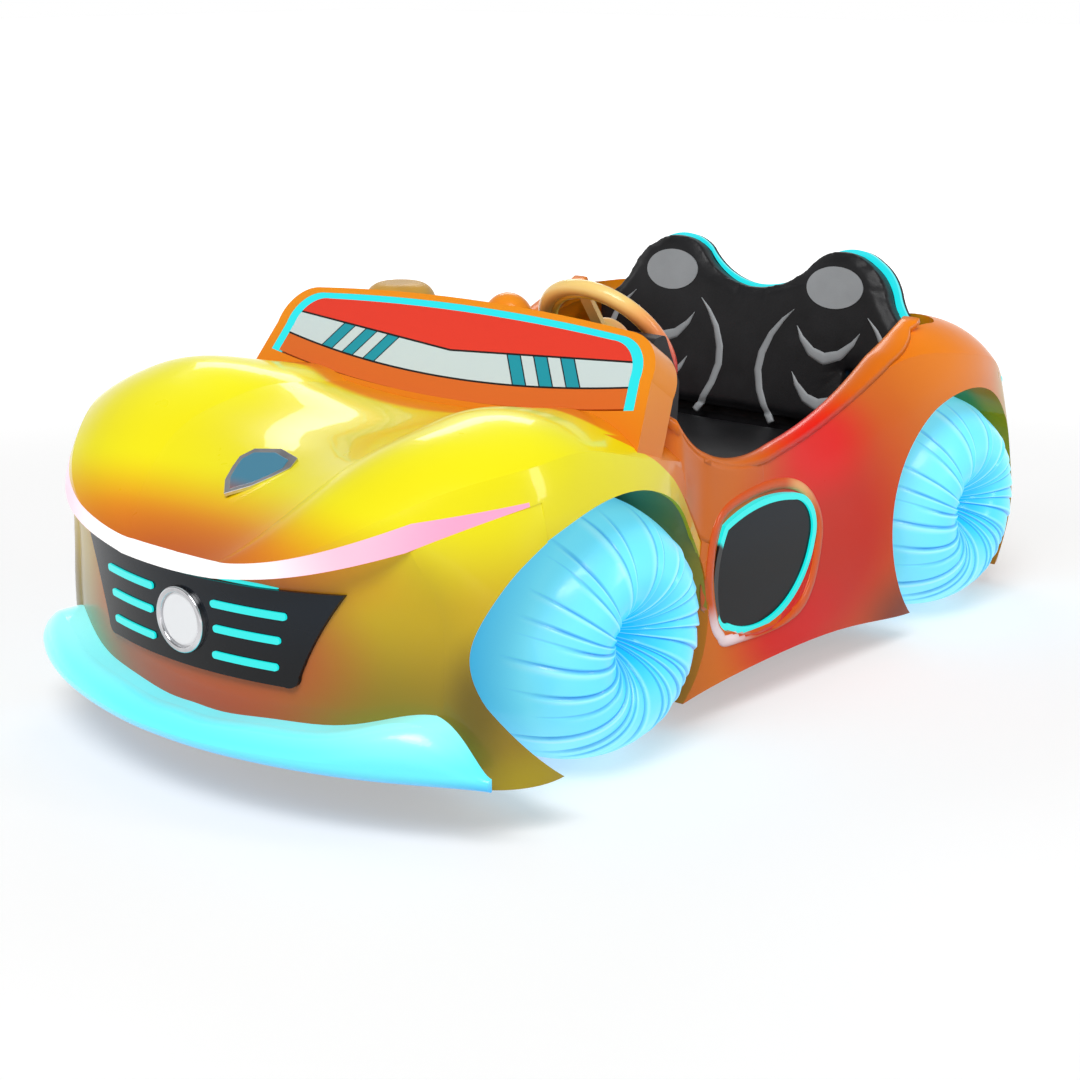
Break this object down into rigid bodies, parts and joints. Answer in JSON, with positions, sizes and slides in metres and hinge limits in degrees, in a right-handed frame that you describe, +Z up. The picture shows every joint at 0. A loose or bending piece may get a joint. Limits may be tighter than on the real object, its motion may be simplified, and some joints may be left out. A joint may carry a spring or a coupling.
{
  "type": "two-seat battery bumper car",
  "caption": "Low open bumper car with rounded nose, lit front bumper, side-by-side seat, steering wheel and fat lit wheels that roll and steer.",
  "frame": {"origin": "centre of the car's footprint on the floor", "axes": "-Y is the front, +X the car's left, +Z up"},
  "size_m": [1.2093, 2.184, 0.8381],
  "materials": {
    "yellow_paint": "yellow to orange gloss gelcoat",
    "orange_paint": "orange to red gloss gelcoat",
    "pink_light": "lit pink translucent strip",
    "cyan_light": "lit cyan strip",
    "blue_light": "lit light blue translucent moulding",
    "printed_panel": "printed gloss panel",
    "black_gloss": "gloss black",
    "bright_ring": "polished",
    "lamp_white": "lit white lens",
    "dark_plastic": "fine grained",
    "tan_plastic": "satin",
    "black_leather": "smooth coated leather",
    "grey_leather": "smooth coated leather",
    "frame_steel": "satin black paint",
    "motor_casting": "cast",
    "wheel_ring": "gloss",
    "wheel_cap_plastic": "gloss",
    "lit_tyre": "lit blue pleated translucent cover"
  },
  "bodies": {
    "chassis": {"nose_shell": "yellow_paint", "lip_light": "pink_light", "windscreen_surround": "orange_paint", "windscreen": "printed_panel", "screen_light": "cyan_light", "cowl": "orange_paint", "main_shell": "orange_paint", "side_rings": "cyan_light", "side_panels": "black_gloss", "front_bumper": "blue_light", "grille_panel": "black_gloss", "grille_lights": "cyan_light", "lamp_ring": "bright_ring", "lamp_lens": "lamp_white", "dashboard": "dark_plastic", "steering_column": "dark_plastic", "dash_pod": "tan_plastic", "seat_cushion": "black_leather", "seat_base": "dark_plastic", "seat_back": "black_leather", "seat_light": "cyan_light", "seat_back_shell": "dark_plastic", "headrests": "grey_leather", "frame": "frame_steel", "floor_pan": "dark_plastic", "footwell": "dark_plastic", "front_axle": "frame_steel", "steering_rack": "frame_steel", "drive_motor": "motor_casting", "rear_axle": "frame_steel", "battery": "dark_plastic"},
    "steering_wheel": {"steering_wheel": "wheel_ring", "wheel_cap": "wheel_cap_plastic"},
    "knuckle_left": {"knuckle_left": "frame_steel"},
    "knuckle_right": {"knuckle_right": "frame_steel"},
    "tie_rod": {"tie_rod": "frame_steel"},
    "wheel_front_left": {"tyre_front_left": "lit_tyre", "hub_front_left": "dark_plastic"},
    "wheel_front_right": {"tyre_front_right": "lit_tyre", "hub_front_right": "dark_plastic"},
    "wheel_rear_left": {"tyre_rear_left": "lit_tyre", "hub_rear_left": "dark_plastic"},
    "wheel_rear_right": {"tyre_rear_right": "lit_tyre", "hub_rear_right": "dark_plastic"}
  },
  "joints": [
    {"name": "steering", "type": "hinge", "parent": "chassis", "child": "steering_wheel", "pos_m": [0.199, -0.095, 0.708], "axis": [0, 0.8151, 0.5793], "range_deg": [-60, 60]},
    {"name": "kingpin_left", "type": "hinge", "parent": "chassis", "child": "knuckle_left", "pos_m": [0.262, -0.438, 0.25], "axis": [0, 0, 1], "range_deg": [-18.5, 18.5]},
    {"name": "kingpin_right", "type": "hinge", "parent": "chassis", "child": "knuckle_right", "pos_m": [-0.262, -0.438, 0.25], "axis": [0, 0, 1], "range_deg": [-18.5, 18.5]},
    {"name": "tie_rod_slide", "type": "slide", "parent": "chassis", "child": "tie_rod", "axis": [-1, 0, 0], "range_m": [-0.027, 0.027]},
    {"name": "roll_front_left", "type": "hinge", "parent": "knuckle_left", "child": "wheel_front_left", "pos_m": [0.36, -0.438, 0.25], "axis": [1, 0, 0], "continuous": true},
    {"name": "roll_front_right", "type": "hinge", "parent": "knuckle_right", "child": "wheel_front_right", "pos_m": [-0.36, -0.438, 0.25], "axis": [1, 0, 0], "continuous": true},
    {"name": "roll_rear_left", "type": "hinge", "parent": "chassis", "child": "wheel_rear_left", "pos_m": [0.36, 0.782, 0.25], "axis": [1, 0, 0], "continuous": true},
    {"name": "roll_rear_right", "type": "hinge", "parent": "chassis", "child": "wheel_rear_right", "pos_m": [-0.36, 0.782, 0.25], "axis": [1, 0, 0], "continuous": true}
  ],
  "couplings": [
    {"joint": "kingpin_left", "follows": "steering", "ratio": 0.3},
    {"joint": "kingpin_right", "follows": "steering", "ratio": 0.3},
    {"joint": "tie_rod_slide", "follows": "steering", "m_per_rad": 0.023607}
  ]
}
